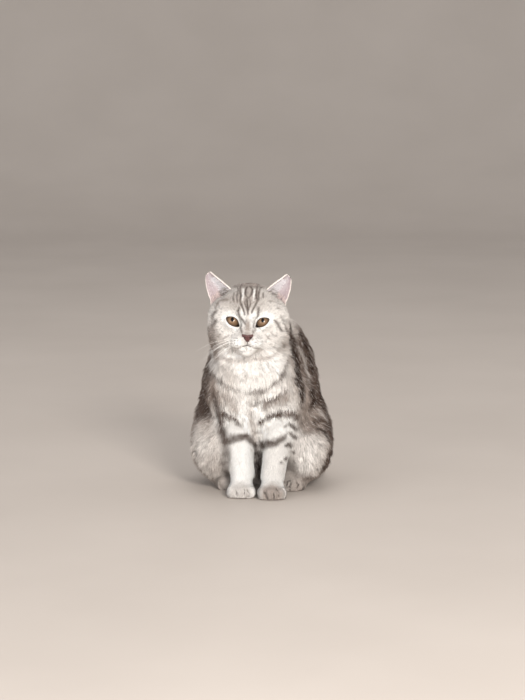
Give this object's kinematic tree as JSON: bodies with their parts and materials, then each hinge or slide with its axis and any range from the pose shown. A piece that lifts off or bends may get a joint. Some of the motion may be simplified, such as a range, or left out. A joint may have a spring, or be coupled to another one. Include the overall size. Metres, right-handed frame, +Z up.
{
  "type": "cat figure",
  "caption": "Life-size still model of a sitting shorthaired tabby cat, forelegs straight, tail laid round one haunch.",
  "frame": {"origin": "on the floor under the middle of the whole cat's bounding box", "axes": "+Z up; the cat faces -Y, with its own left side towards +X"},
  "size_m": [0.2214, 0.2896, 0.3461],
  "materials": {
    "fur_silver": "dense short coat, silver ticked with dark marbled bands",
    "fur_white": "dense short coat, white to silver",
    "fur_dark": "dense short coat, dark with silver rings",
    "ear_skin": "thin downy skin, matt",
    "eye": "wet, hazel to copper iris",
    "nose": "fine-grained, slightly moist, brick pink"
  },
  "bodies": {
    "root": {"muzzle": "fur_white", "head": "fur_silver", "neck": "fur_white", "trunk": "fur_silver", "foreleg_left": "fur_white", "foreleg_right": "fur_white", "forepaw_left": "fur_white", "forepaw_right": "fur_white", "thigh_left": "fur_silver", "thigh_right": "fur_silver", "hind_foot_left": "fur_white", "hind_foot_right": "fur_white", "tail_base": "fur_dark", "tail_middle": "fur_dark", "tail_end": "fur_dark", "ear_left": "ear_skin", "ear_right": "ear_skin", "eye_left": "eye", "eye_right": "eye", "nose": "nose"}
  },
  "joints": []
}
